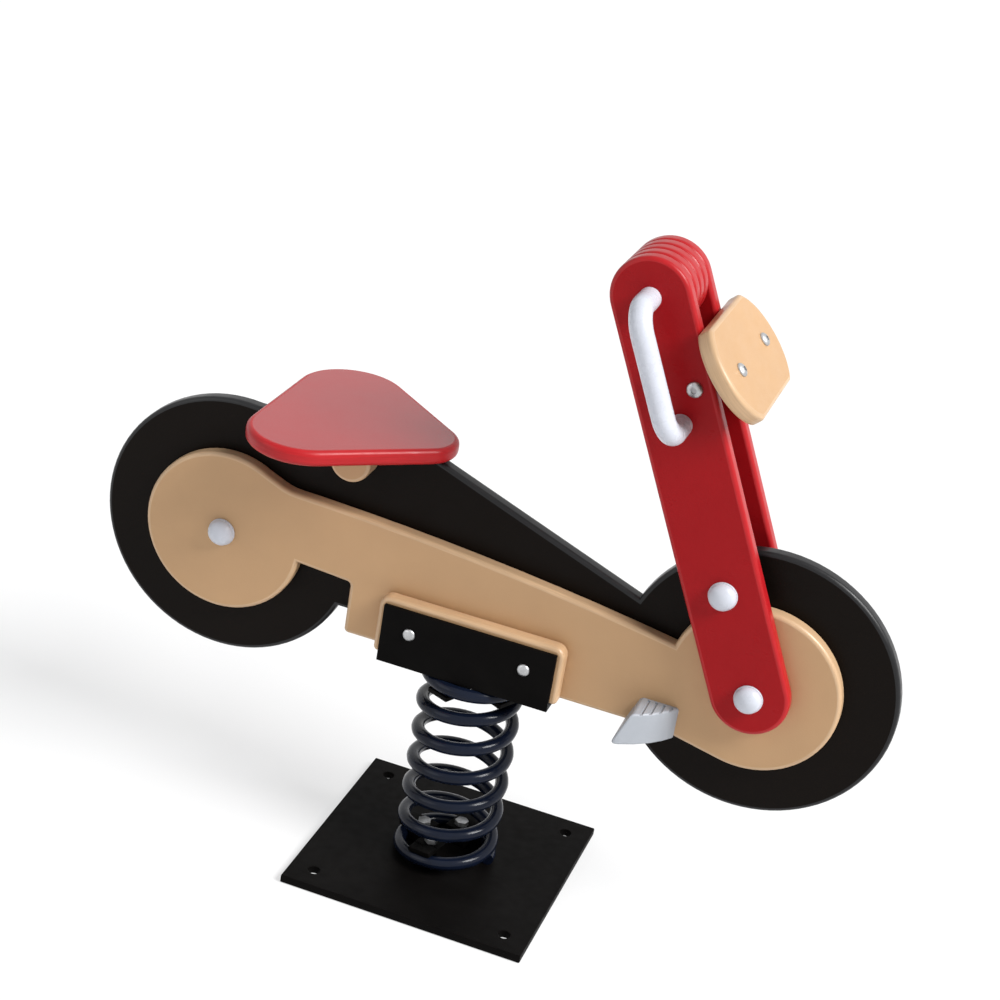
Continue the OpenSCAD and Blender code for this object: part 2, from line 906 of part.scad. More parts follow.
// The left block: a round bar with a flat on top, a pocket for the bolt and two screw holes
module seat_block() {
    color(tan) difference() {
        translate([seat_mid_x, 0, seat_block_z]) cross_rod(seat_block_r, core_y, seat_block_y);
        translate([seat_mid_x - seat_block_r - over, 0, seat_z])
            cube([2 * (seat_block_r + over), 2 * seat_block_y, seat_block_r]);
        seat_bolt_place() {
            cross_rod(seat_bolt_r + bolt_gap, 0, seat_block_y + over);
            cross_rod(seat_bolt_pocket_r, seat_pocket_y, seat_block_y + over);
        }
        seat_screw_places([1]) translate([0, 0, -2 * seat_block_r - over]) {
            cylinder(r = screw_r + bolt_gap, h = 2 * (seat_block_r + over));
            cylinder(r = screw_head_r + bolt_gap, h = screw_sink_h + over);
        }
    }
}

module seat_block_left() {
    seat_block();
}

module seat_block_right() {
    left() seat_block();
}

module seat_block_bolt() {
    color(steel) seat_bolt_place() {
        cross_rod(seat_bolt_r, -seat_pocket_y, seat_pocket_y + seat_bolt_head_h);
        cross_hex(seat_bolt_head_r, -seat_pocket_y - seat_bolt_head_h, -seat_pocket_y);
    }
}

module seat_block_nut() {
    color(steel) seat_bolt_place() difference() {
        cross_hex(seat_bolt_head_r, seat_pocket_y, seat_pocket_y + seat_bolt_head_h);
        cross_rod(seat_bolt_r + thread_gap, seat_pocket_y - over, seat_pocket_y + seat_bolt_head_h + over);
    }
}

module seat_screws() {
    under = 2 * seat_block_r - screw_sink_h;
    color(steel) seat_screw_places([-1, 1]) {
        translate([0, 0, -under]) cylinder(r = screw_r, h = under + screw_in_seat);
        translate([0, 0, -under - screw_head_h]) cylinder(r = screw_head_r, h = screw_head_h);
    }
}

// Footrests

// The left footrest: swept back as seen from above, with a slanting rear end and grooves across its tread
module footrest() {
    tip = foot_front_x - foot_tip_l;
    tread_z = foot_z + foot_h - foot_groove_h;
    color(white) difference() {
        intersection() {
            translate([0, 0, foot_z]) linear_extrude(foot_h) intersection() {
                translate([tip - over, side_y]) square([foot_l + foot_h, foot_reach]);
                translate([foot_front_x - foot_sweep_x, side_y + foot_sweep_y]) circle(r = foot_sweep_r);
            }
            sheet(side_y, foot_reach + over) polygon(outline([
                [tip, foot_z, panel_corner_r],
                [foot_front_x + over, foot_z, 0],
                [foot_front_x + over, foot_z + foot_h, 0],
                [tip + foot_slant, foot_z + foot_h, foot_edge_r]
            ]));
        }
        for (i = [1:foot_grooves])
            translate([foot_front_x - i * foot_groove_gap, side_y + foot_groove_w, tread_z])
                cube([foot_groove_w, foot_reach, foot_h]);
        foot_stud_places() cross_rod(stud_r + thread_gap, side_y - over, side_y + stud_end);
    }
}

module footrest_left() {
    footrest();
}

module footrest_right() {
    left() footrest();
}

module footrest_studs() {
    color(steel) foot_stud_places() cross_rod(stud_r, -side_y - stud_end, side_y + stud_end);
}

base_plate();
lower_clips();
lower_clip_bolts();
coil_spring();
upper_clips();
upper_clip_bolts();
saddle_bracket();
saddle_bolts();
saddle_nuts();
centre_panel();
side_panel_right();
side_panel_left();
doubler_right();
doubler_left();
fork_panel_right();
fork_panel_left();
fork_spacer_right();
fork_spacer_middle();
fork_spacer_left();
fork_low_spacers();
fork_bolts();
rear_hub_bolt();
hub_nuts();
bolt_caps_right();
bolt_caps_left();
handle_right();
handle_left();
handle_rods();
handle_spacer();
headlight_plate();
headlight_bracket();
headlight_bolts();
headlight_nuts();
headlight_cross_bolt();
headlight_cross_nut();
seat();
seat_block_right();
seat_block_left();
seat_block_bolt();
seat_block_nut();
seat_screws();
footrest_right();
footrest_left();
footrest_studs();
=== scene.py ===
import json
import math

import bmesh
import bpy
from mathutils import Matrix, Vector

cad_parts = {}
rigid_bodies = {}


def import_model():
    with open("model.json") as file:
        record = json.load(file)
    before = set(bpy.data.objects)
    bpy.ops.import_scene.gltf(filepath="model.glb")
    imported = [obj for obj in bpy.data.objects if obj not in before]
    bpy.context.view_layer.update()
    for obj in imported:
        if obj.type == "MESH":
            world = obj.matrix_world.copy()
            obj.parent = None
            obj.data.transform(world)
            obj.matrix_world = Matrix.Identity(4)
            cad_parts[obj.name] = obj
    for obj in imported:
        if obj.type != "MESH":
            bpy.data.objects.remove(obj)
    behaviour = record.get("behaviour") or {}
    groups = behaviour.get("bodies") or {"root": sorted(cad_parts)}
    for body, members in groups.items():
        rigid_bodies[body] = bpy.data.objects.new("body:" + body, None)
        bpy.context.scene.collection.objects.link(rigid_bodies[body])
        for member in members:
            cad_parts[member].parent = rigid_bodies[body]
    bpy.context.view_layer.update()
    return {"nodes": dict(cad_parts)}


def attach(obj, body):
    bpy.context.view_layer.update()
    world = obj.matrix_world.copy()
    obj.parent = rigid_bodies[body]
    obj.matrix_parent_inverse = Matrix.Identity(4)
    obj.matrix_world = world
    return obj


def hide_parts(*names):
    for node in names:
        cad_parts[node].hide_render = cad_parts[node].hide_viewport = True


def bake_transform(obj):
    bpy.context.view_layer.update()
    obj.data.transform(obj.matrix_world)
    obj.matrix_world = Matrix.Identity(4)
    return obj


# An empty scene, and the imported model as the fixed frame

bpy.ops.object.select_all(action="SELECT")
bpy.ops.object.delete()
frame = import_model()
nodes = frame["nodes"]
bpy.ops.object.select_all(action="DESELECT")

# Places on the rider, in metres

RIGHT = Vector((0, -1, 0))
LEFT = Vector((0, 1, 0))
UP = Vector((0, 0, 1))
REAR_HUB = Vector((-0.324, 0, 0.3586))
FRONT_HUB = Vector((0.324, 0, 0.3586))
FORK_UP = Vector((-0.41945, 0, 0.90778))
FORK_OUT = Vector((0.90778, 0, 0.41945))
LIGHT_OUT = Vector((0.73373, 0, 0.67944))


def on_fork(up, out=0):
    """A place on the fork: up along it from the front hub, and out in front of its middle line."""
    return FRONT_HUB + up * FORK_UP + out * FORK_OUT


FORK_TOP_BOLT = on_fork(0.1235)
LIGHT_MID = on_fork(0.366, 0.0623)
LIGHT_CROSS = on_fork(0.357, 0.024)
LIGHT_BOLT_Y = 0.055
SADDLE_BOLTS = [Vector((x, 0, 0.3131)) for x in (-0.07, 0.07)]

# How far the outer faces lie from the rider's middle plane
SIDE_FACE = 0.0285
FORK_FACE = 0.0475
SADDLE_FACE = 0.0525

SHEET = 0.019
ROUNDOVER = 0.005
SEAT_ROUNDOVER = 0.0065
WELD = 0.00002


# Finishes

def start_finish(name):
    """A new material with its shader, and the Object coordinates that its patterns read."""
    material = bpy.data.materials.new(name)
    material.use_nodes = True
    tree = material.node_tree
    shader = tree.nodes["Principled BSDF"]
    place = tree.nodes.new("ShaderNodeTexCoord")
    return material, tree, shader, place.outputs["Object"]


def grain(tree, place, scale, detail=2, stretch=None, turn=None):
    """Noise over the piece, turned and then drawn out along an axis where these are given."""
    for socket, value in (("Rotation", turn), ("Scale", stretch)):
        if value:
            mapping = tree.nodes.new("ShaderNodeMapping")
            mapping.inputs[socket].default_value = value
            tree.links.new(place, mapping.inputs["Vector"])
            place = mapping.outputs["Vector"]
    noise = tree.nodes.new("ShaderNodeTexNoise")
    noise.inputs["Scale"].default_value = scale
    noise.inputs["Detail"].default_value = detail
    tree.links.new(place, noise.inputs["Vector"])
    return noise.outputs["Fac"]


def tint(tree, shader, value, dark, light, low=0.3, high=0.7):
    """Base colour that drifts between two tones."""
    ramp = tree.nodes.new("ShaderNodeValToRGB")
    ramp.color_ramp.elements[0].position = low
    ramp.color_ramp.elements[0].color = (*dark, 1)
    ramp.color_ramp.elements[1].position = high
    ramp.color_ramp.elements[1].color = (*light, 1)
    tree.links.new(value, ramp.inputs["Fac"])
    tree.links.new(ramp.outputs["Color"], shader.inputs["Base Color"])


def gloss(tree, shader, value, low, high):
    """Roughness that wanders between two levels."""
    spread = tree.nodes.new("ShaderNodeMapRange")
    spread.inputs["From Min"].default_value = 0.3
    spread.inputs["From Max"].default_value = 0.7
    spread.inputs["To Min"].default_value = low
    spread.inputs["To Max"].default_value = high
    tree.links.new(value, spread.inputs["Value"])
    tree.links.new(spread.outputs["Result"], shader.inputs["Roughness"])


def relief(tree, shader, value, strength, depth, under=None):
    """Surface relief from a pattern, over another relief where one is given."""
    bump = tree.nodes.new("ShaderNodeBump")
    bump.inputs["Strength"].default_value = strength
    bump.inputs["Distance"].default_value = depth
    tree.links.new(value, bump.inputs["Height"])
    if under:
        tree.links.new(under, bump.inputs["Normal"])
    tree.links.new(bump.outputs["Normal"], shader.inputs["Normal"])
    return bump.outputs["Normal"]


def tones(colour, spread):
    """A darker and a lighter tone of one colour."""
    return [c * (1 - spread) for c in colour], [min(1, c * (1 + spread)) for c in colour]


def shine_and_coat(shader, shine, coat, coat_roughness):
    """How strongly a surface reflects, and the clear layer over it."""
    shader.inputs["Specular IOR Level"].default_value = shine
    shader.inputs["Coat Weight"].default_value = coat
    shader.inputs["Coat Roughness"].default_value = coat_roughness


def sheet_finish(name, colour, low, high, shine, polish=0):
    """Polyethylene sheet: even colour, a fine orange peel, a few dull rubs, and a polish from use."""
    material, tree, shader, place = start_finish(name)
    shine_and_coat(shader, shine, polish, coat_roughness=0.2)
    clouds = grain(tree, place, scale=11, detail=4)
    rubs = grain(tree, place, scale=34, detail=5, stretch=(1, 1, 2.5))
    orange_peel = grain(tree, place, scale=520)
    waves = grain(tree, place, scale=60, detail=3)
    tint(tree, shader, clouds, *tones(colour, spread=0.035))
    gloss(tree, shader, rubs, low, high)
    fine = relief(tree, shader, orange_peel, strength=0.22, depth=0.0006)
    relief(tree, shader, waves, strength=0.03, depth=0.002, under=fine)
    return material


def routed_finish(name, colour, shine, across, turn=None):
    """The cut edge of a sheet: the cutter's lines along it, over a paler colour that is a painted highlight
    on the rounded-over rim.
    """
    material, tree, shader, place = start_finish(name)
    shader.inputs["Specular IOR Level"].default_value = shine
    lines = grain(tree, place, scale=1, detail=3, stretch=across, turn=turn)
    rubs = grain(tree, place, scale=70, detail=3)
    skin = grain(tree, place, scale=260)
    tint(tree, shader, lines, *tones(colour, spread=0.09))
    gloss(tree, shader, rubs, low=0.28, high=0.4)
    cut = relief(tree, shader, lines, strength=0.18, depth=0.0005)
    relief(tree, shader, skin, strength=0.1, depth=0.0006, under=cut)
    return material


def parting_line(tree, shader, place, across, middle, skin):
    """The thin ridge that a mould leaves, on the plane that lies at middle along across."""
    along = tree.nodes.new("ShaderNodeVectorMath")
    along.operation = "DOT_PRODUCT"
    along.inputs[1].default_value = across
    tree.links.new(place, along.inputs[0])
    ridge = tree.nodes.new("ShaderNodeMath")
    ridge.operation = "COMPARE"
    ridge.inputs[1].default_value = middle
    ridge.inputs[2].default_value = PARTING_HALF_WIDTH
    tree.links.new(along.outputs["Value"], ridge.inputs[0])
    relief(tree, shader, ridge.outputs["Value"], strength=0.35, depth=0.0003, under=skin)


def moulded_finish(name, colour, low, high, peel, parting=None):
    """Moulded plastic: slight clouding, a fine skin, and the mould's parting line where one shows."""
    material, tree, shader, place = start_finish(name)
    clouds = grain(tree, place, scale=45, detail=4)
    rubs = grain(tree, place, scale=110, detail=4)
    tint(tree, shader, clouds, *tones(colour, spread=0.03))
    gloss(tree, shader, rubs, low, high)
    skin = relief(tree, shader, grain(tree, place, scale=peel), strength=0.12, depth=0.0004)
    if parting:
        parting_line(tree, shader, place, *parting, skin)
    return material


def coat_finish(name, colour, low, high, peel, depth, shine, coat):
    """Paint or powder on steel: a pebbled skin, dust-dull in places."""
    material, tree, shader, place = start_finish(name)
    shine_and_coat(shader, shine, coat, coat_roughness=0.12)
    clouds = grain(tree, place, scale=26, detail=5)
    dust = grain(tree, place, scale=80, detail=5)
    tint(tree, shader, clouds, *tones(colour, spread=0.22))
    gloss(tree, shader, dust, low, high)
    relief(tree, shader, grain(tree, place, scale=peel), strength=0.3, depth=depth)
    return material


def zinc_finish(name):
    """Zinc plate on a fastener: soft spangle, and the fine lines of turning."""
    material, tree, shader, place = start_finish(name)
    shader.inputs["Metallic"].default_value = 1
    spangle = tree.nodes.new("ShaderNodeTexVoronoi")
    spangle.inputs["Scale"].default_value = 420
    tree.links.new(place, spangle.inputs["Vector"])
    rubs = grain(tree, place, scale=300, detail=4)
    lines = grain(tree, place, scale=1200)
    tint(tree, shader, spangle.outputs["Color"], ZINC_DARK, ZINC_LIGHT, low=0.1, high=0.9)
    gloss(tree, shader, rubs, low=0.32, high=0.48)
    relief(tree, shader, lines, strength=0.15, depth=0.0002)
    return material


TAN = (0.52, 0.318, 0.165)
# Paler than TAN: a painted highlight for the light on the rounded-over edges of the tan sheets and seat
# blocks.
TAN_CUT_PAINTED_HIGHLIGHT = (0.57, 0.375, 0.215)
RED = (0.345, 0.0065, 0.0095)
# Paler than RED: a painted highlight for the light on the rounded-over edges of the fork and seat.
RED_CUT_PAINTED_HIGHLIGHT = (0.41, 0.01, 0.0135)
BLACK = (0.0056, 0.0037, 0.0027)
# Grey-blue and paler than BLACK: a painted sky reflection on the rounded-over edges of the centre sheet.
BLACK_CUT_PAINTED_SKY_REFLECTION = (0.0085, 0.0085, 0.0095)
GRIP_WHITE = (0.6, 0.62, 0.685)
CAP_WHITE = (0.57, 0.59, 0.65)
TREAD_GREY = (0.35, 0.372, 0.405)
# The spring's enamel is black; its blue tint is a painted sky reflection.
BLACK_ENAMEL_PAINTED_BLUE_REFLECTION = (0.0045, 0.0075, 0.018)
POWDER = (0.0032, 0.0028, 0.0026)
ZINC_DARK = (0.43, 0.435, 0.44)
ZINC_LIGHT = (0.54, 0.545, 0.555)

# The cutter's lines run along a sheet's edge, so they are close together across its thickness
ACROSS_Y = (26, 900, 26)
ACROSS_Z = (26, 26, 900)
ACROSS_X = (900, 26, 26)
LIGHT_TO_X = (0, math.radians(42.8), 0)
GRIP_PARTING = (FORK_OUT, FORK_OUT.dot(FRONT_HUB))
PARTING_HALF_WIDTH = 0.00045

tan_sheet = sheet_finish("tan_sheet", TAN, low=0.36, high=0.5, shine=0.3)
tan_routed = routed_finish("tan_routed_edge", TAN_CUT_PAINTED_HIGHLIGHT, 0.5, ACROSS_Y)
tan_routed_light = routed_finish("tan_routed_light_edge", TAN_CUT_PAINTED_HIGHLIGHT, 0.4, ACROSS_X, LIGHT_TO_X)
red_sheet = sheet_finish("red_sheet", RED, low=0.26, high=0.38, shine=0.11)
red_seat_top = sheet_finish("red_seat_top", RED, low=0.16, high=0.26, shine=0.6, polish=0.25)
red_routed = routed_finish("red_routed_edge", RED_CUT_PAINTED_HIGHLIGHT, 0.26, ACROSS_Y)
red_routed_seat = routed_finish("red_routed_seat_edge", RED_CUT_PAINTED_HIGHLIGHT, 0.26, ACROSS_Z)
black_sheet = sheet_finish("black_sheet", BLACK, low=0.36, high=0.5, shine=0.07)
black_routed = routed_finish("black_routed_edge", BLACK_CUT_PAINTED_SKY_REFLECTION, 0.3, ACROSS_Y)
white_cap = moulded_finish("white_cap", CAP_WHITE, low=0.24, high=0.36, peel=600)
white_grip = moulded_finish("white_grip", GRIP_WHITE, low=0.22, high=0.34, peel=700, parting=GRIP_PARTING)
grey_tread = moulded_finish("grey_tread", TREAD_GREY, low=0.4, high=0.55, peel=380)
spring_coat = coat_finish("spring_enamel", BLACK_ENAMEL_PAINTED_BLUE_REFLECTION, low=0.16, high=0.26, peel=260, depth=0.0004, shine=0.13,
                          coat=0.1)
black_coat = coat_finish("black_powder_coat", POWDER, low=0.42, high=0.58, peel=1400, depth=0.0003,
                         shine=0.035, coat=0)
zinc = zinc_finish("zinc_plate")


# Bench work: picking, easing and finishing

def use(piece):
    """Leaves one piece selected and active, in object mode."""
    if bpy.context.object and bpy.context.object.mode != "OBJECT":
        bpy.ops.object.mode_set(mode="OBJECT")
    bpy.ops.object.select_all(action="DESELECT")
    piece.select_set(True)
    bpy.context.view_layer.objects.active = piece


def open_mesh(piece, mode):
    """Goes into edit mode on a piece, with nothing selected."""
    use(piece)
    bpy.ops.object.mode_set(mode="EDIT")
    bpy.ops.mesh.select_mode(type=mode)
    bpy.ops.mesh.select_all(action="DESELECT")


def pick(piece, chosen, kind):
    """Selects the faces or edges that pass a test, and nothing else."""
    bpy.ops.mesh.select_all(action="DESELECT")
    mesh = bmesh.from_edit_mesh(piece.data)
    for part in getattr(mesh, kind):
        if chosen(part):
            part.select_set(True)
    mesh.select_flush_mode()
    bmesh.update_edit_mesh(piece.data)


def call_it(piece, name):
    """Names a piece and its mesh."""
    piece.name = name
    piece.data.name = name


def copy_node(node, name, *finishes):
    """A new piece from a CAD node's mesh, with its finishes on and its loose triangles merged."""
    mesh = nodes[node].data.copy()
    mesh.name = name
    mesh.materials.clear()
    for finish in finishes:
        mesh.materials.append(finish)
    piece = bpy.data.objects.new(name, mesh)
    bpy.context.scene.collection.objects.link(piece)
    open_mesh(piece, "VERT")
    bpy.ops.mesh.select_all(action="SELECT")
    bpy.ops.mesh.remove_doubles(threshold=WELD)
    bpy.ops.mesh.customdata_custom_splitnormals_clear()
    bpy.ops.object.mode_set(mode="OBJECT")
    return piece


def smooth(piece, angle):
    """Smooth shading on the curves, with the flats kept flat."""
    use(piece)
    bpy.ops.object.shade_smooth_by_angle(angle=math.radians(angle))
    bpy.ops.object.modifier_add(type="WEIGHTED_NORMAL")
    modifier = piece.modifiers[-1]
    modifier.keep_sharp = True
    bpy.ops.object.modifier_apply(modifier=modifier.name)


def fit(piece, node, body):
    """Lets a piece stand for its CAD node on that body."""
    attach(piece, body)
    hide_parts(node)


FACE, EDGE, AS_NEXT_TO_IT = 0, 1, -1


def split_finishes(piece, out):
    """Puts the first finish on the faces that lie square to out, and the second on the edges."""
    for face in bmesh.from_edit_mesh(piece.data).faces:
        face.material_index = FACE if abs(face.normal.dot(out)) > 0.5 else EDGE


def round_over(width, segments=4, finish=AS_NEXT_TO_IT):
    """Rounds over the picked edges."""
    bpy.ops.mesh.bevel(offset=width, offset_type="OFFSET", segments=segments, profile=0.5, affect="EDGES",
                       clamp_overlap=False, loop_slide=False, material=finish)


def outer_loop(mesh):
    """The numbers of the edges round the longest open border of a flat side."""
    mesh.edges.index_update()
    border = {e for e in mesh.edges if len(e.link_faces) == 1}
    loops = []
    while border:
        reach = [border.pop()]
        loop = []
        while reach:
            edge = reach.pop()
            loop.append(edge)
            for vert in edge.verts:
                for other in vert.link_edges:
                    if other in border:
                        border.remove(other)
                        reach.append(other)
        loops.append(loop)
    longest = max(loops, key=lambda loop: sum(e.calc_length() for e in loop))
    return {e.index for e in longest}


def routed_sheet(node, name, out, finish, edge_finish, roundover=ROUNDOVER):
    """A sheet cut to its CAD node's outline, with both rims rounded over by a router."""
    piece = copy_node(node, name, finish, edge_finish)
    heights = [v.co.dot(out) for v in piece.data.vertices]
    thick = max(heights) - min(heights)
    open_mesh(piece, "FACE")
    pick(piece, lambda f: f.normal.dot(out) > 0.999, "faces")
    bpy.ops.mesh.select_all(action="INVERT")
    bpy.ops.mesh.delete(type="FACE")
    bpy.ops.mesh.select_mode(type="EDGE")
    rim = outer_loop(bmesh.from_edit_mesh(piece.data))
    pick(piece, lambda e: e.index not in rim, "edges")
    bpy.ops.mesh.delete(type="EDGE")
    bpy.ops.mesh.select_all(action="SELECT")
    bpy.ops.mesh.edge_face_add()
    bpy.ops.mesh.extrude_region_move(TRANSFORM_OT_translate={"value": tuple(-thick * out)})
    bpy.ops.mesh.select_all(action="SELECT")
    bpy.ops.mesh.normals_make_consistent(inside=False)
    split_finishes(piece, out)
    pick(piece, lambda e: len({f.material_index for f in e.link_faces}) == 2, "edges")
    round_over(roundover, finish=EDGE)
    bpy.ops.object.mode_set(mode="OBJECT")
    smooth(piece, angle=40)
    fit(piece, node, "rider")


def eased(node, name, finish, width):
    """A copy of a CAD node with its sharp edges eased."""
    piece = copy_node(node, name, finish)
    open_mesh(piece, "VERT")
    bpy.ops.mesh.select_all(action="SELECT")
    bpy.ops.mesh.dissolve_limited(angle_limit=math.radians(0.5))
    bpy.ops.object.mode_set(mode="OBJECT")
    bpy.ops.object.modifier_add(type="BEVEL")
    modifier = piece.modifiers[-1]
    modifier.width = width
    modifier.segments = 2
    modifier.limit_method = "ANGLE"
    modifier.angle_limit = math.radians(35)
    modifier.use_clamp_overlap = False
    modifier.loop_slide = False
    bpy.ops.object.modifier_apply(modifier=modifier.name)
    smooth(piece, angle=30)
    return piece


def turned(name, finish, rings, steps=48):
    """A piece turned on the Z axis, through rings of (radius, height) from its foot to its crown."""
    bpy.ops.object.select_all(action="DESELECT")
    radius, height = rings[0]
    bpy.ops.mesh.primitive_circle_add(vertices=steps, radius=radius, fill_type="NGON",
                                      location=(0, 0, height))
    piece = bpy.context.object
    call_it(piece, name)
    piece.data.materials.append(finish)
    bpy.ops.object.transform_apply(location=True, rotation=True, scale=True)
    bpy.ops.object.mode_set(mode="EDIT")
    bpy.ops.mesh.select_all(action="SELECT")
    for wide, high in rings[1:]:
        bpy.ops.mesh.extrude_region_move(TRANSFORM_OT_translate={"value": (0, 0, high - height)})
        bpy.ops.transform.resize(value=(wide / radius, wide / radius, 1), center_override=(0, 0, high))
        radius, height = wide, high
    bpy.ops.mesh.select_all(action="SELECT")
    bpy.ops.mesh.normals_make_consistent(inside=False)
    bpy.ops.object.mode_set(mode="OBJECT")
    return piece


def crown(radius, foot, rise, steps):
    """Rings of a dome that starts upright on its foot."""
    angles = [math.pi / 2 * i / steps for i in range(steps)]
    return [(radius * math.cos(a), foot + rise * math.sin(a)) for a in angles]


def set_down(piece, foot, out):
    """Copies a turned piece to a place, with its axis along out."""
    use(piece)
    bpy.ops.object.duplicate()
    placed = bpy.context.object
    placed.rotation_mode = "QUATERNION"
    placed.rotation_quaternion = UP.rotation_difference(out)
    placed.location = foot
    bpy.ops.object.transform_apply(location=True, rotation=True, scale=True)
    return placed


def gather(name, pieces):
    """Joins placed copies into one piece."""
    use(pieces[0])
    for piece in pieces[1:]:
        piece.select_set(True)
    if len(pieces) > 1:
        bpy.ops.object.join()
    call_it(pieces[0], name)
    return pieces[0]


def put_away(piece):
    """Removes a pattern piece once its copies are placed."""
    use(piece)
    bpy.ops.object.delete()


def cut_away(piece, cutter):
    """Cuts one piece out of another."""
    use(piece)
    bpy.ops.object.modifier_add(type="BOOLEAN")
    modifier = piece.modifiers[-1]
    modifier.operation = "DIFFERENCE"
    modifier.solver = "EXACT"
    modifier.object = cutter
    bpy.ops.object.modifier_apply(modifier=modifier.name)
    put_away(cutter)


def slab(name, low, high):
    """A square-cut block between two corners."""
    bpy.ops.object.select_all(action="DESELECT")
    low, high = Vector(low), Vector(high)
    bpy.ops.mesh.primitive_cube_add(size=1, location=(low + high) / 2, scale=high - low)
    piece = bpy.context.object
    piece.name = name
    bpy.ops.object.transform_apply(location=True, rotation=True, scale=True)
    return piece


# Sheets

routed_sheet("centre_panel", "centre_sheet", LEFT, black_sheet, black_routed)
for side in ("right", "left"):
    routed_sheet(f"side_panel_{side}", f"side_sheet_{side}", LEFT, tan_sheet, tan_routed)
    routed_sheet(f"doubler_{side}", f"doubler_sheet_{side}", LEFT, tan_sheet, tan_routed)
    routed_sheet(f"fork_panel_{side}", f"fork_sheet_{side}", LEFT, red_sheet, red_routed)
for layer in ("right", "middle", "left"):
    routed_sheet(f"fork_spacer_{layer}", f"fork_layer_{layer}", LEFT, red_sheet, red_routed)
routed_sheet("headlight_plate", "headlight_sheet", LIGHT_OUT, tan_sheet, tan_routed_light)
routed_sheet("seat", "seat_sheet", UP, red_seat_top, red_routed_seat, SEAT_ROUNDOVER)

# Snap caps over the hub and fork bolts: a base ring, a groove and a dome with a small flat on top

CAP_BASE = [(0.0158, 0), (0.0165, 0.0006), (0.0165, 0.0026), (0.0161, 0.003)]
CAP_GROOVE = [(0.0152, 0.0031), (0.0152, 0.0036)]
CAP_DOME = crown(radius=0.0158, foot=0.0038, rise=0.0111, steps=10) + [(0.0008, 0.01489)]
CAP_FEET = [(REAR_HUB, SIDE_FACE), (FRONT_HUB, FORK_FACE), (FORK_TOP_BOLT, FORK_FACE)]

cap = turned("snap_cap", white_cap, CAP_BASE + CAP_GROOVE + CAP_DOME, steps=64)
smooth(cap, angle=50)
for side, out in (("right", RIGHT), ("left", LEFT)):
    placed = [set_down(cap, place + face * out, out) for place, face in CAP_FEET]
    fit(gather(f"snap_caps_{side}", placed), f"bolt_caps_{side}", "rider")
put_away(cap)

# Spring: one round wire, in two halves that lap by a ring at mid-height

# Radius of the coil and of its wire, and the height of the foot
COIL = 0.055
WIRE = 0.008
FOOT = 0.0103
# Turns in all, turns that lie flat at each end, and the part of a turn over which the climb sets in
TURNS = 7.14
FLAT = 0.52
BEND = 0.05
# Climb in one turn, and from end to end
PITCH = 0.04
RISE = 0.242
RING_STEP = TURNS / 380


def wire_rise(turn):
    """Height of the wire above its end turn."""
    past = max(0, turn - FLAT)
    return PITCH * (past * past / (2 * BEND) if past < BEND else past - BEND / 2)


def wire_point(turn):
    """The middle of the wire, at a number of turns from its lower end."""
    up = wire_rise(turn) if turn < TURNS / 2 else RISE - wire_rise(TURNS - turn)
    angle = 2 * math.pi * turn
    return COIL * math.cos(angle), COIL * math.sin(angle), FOOT + WIRE + up


def wire_half(name, start, end):
    """A length of the wire as a closed tube, with rings at whole steps of the turn."""
    rings = round((end - start) / RING_STEP)
    line = bpy.data.curves.new(name, "CURVE")
    line.dimensions = "3D"
    line.twist_mode = "Z_UP"
    line.bevel_depth = WIRE
    line.bevel_resolution = 5
    line.use_fill_caps = True
    spline = line.splines.new("POLY")
    spline.points.add(rings)
    for i, point in enumerate(spline.points):
        point.co = (*wire_point(start + (end - start) * i / rings), 1)
    piece = bpy.data.objects.new(name, line)
    bpy.context.scene.collection.objects.link(piece)
    use(piece)
    bpy.ops.object.convert(target="MESH")
    piece = bpy.context.object
    piece.data.name = name
    open_mesh(piece, "VERT")
    bpy.ops.mesh.select_all(action="SELECT")
    bpy.ops.mesh.remove_doubles(threshold=WELD)
    bpy.ops.mesh.normals_make_consistent(inside=False)
    bpy.ops.object.mode_set(mode="OBJECT")
    bpy.ops.object.shade_smooth_by_angle(angle=math.radians(40))
    piece.data.materials.clear()
    piece.data.materials.append(spring_coat)
    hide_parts("coil_spring")
    return piece


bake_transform(wire_half("spring_lower_half", 0, TURNS / 2 + RING_STEP))
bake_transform(wire_half("spring_upper_half", TURNS / 2 - RING_STEP, TURNS))

# Steelwork

PLATED_EASE = 0.0006
for node, body, ease in (("base_plate", "base", 0.0015), ("lower_clips", "base", 0.001),
                         ("upper_clips", "rider", 0.001), ("saddle_bracket", "rider", 0.0008),
                         ("headlight_bracket", "rider", 0.0006)):
    fit(eased(node, f"{node}_coated", black_coat, ease), node, body)
for node, body in (("lower_clip_bolts", "base"), ("upper_clip_bolts", "rider"), ("hub_nuts", "rider")):
    fit(eased(node, f"{node}_plated", zinc, PLATED_EASE), node, body)

# Round-headed bolts, with a hexagon socket where one shows, and their cap nuts

HEAD_EASE, HEAD_EASE_TOP, HEAD_WALL = 0.0002, 0.0003, 0.0008
HEAD_STEPS = 9
HEAD_FLAT_SHARE = 0.12
SHANK_CHAMFER = 0.0005
SOCKET_MID_SHARE = 1.1
# The socket is turned so that its corners miss the head's own corners
SOCKET_TURN = math.radians(11)


def round_head(radius, rise):
    """Rings of a low round head that stands on Z = 0."""
    foot = [(radius - HEAD_EASE, 0), (radius, HEAD_EASE_TOP)]
    dome = crown(radius, HEAD_WALL, rise - HEAD_WALL, HEAD_STEPS)[:-1]
    return foot + dome + [(HEAD_FLAT_SHARE * radius, rise)]


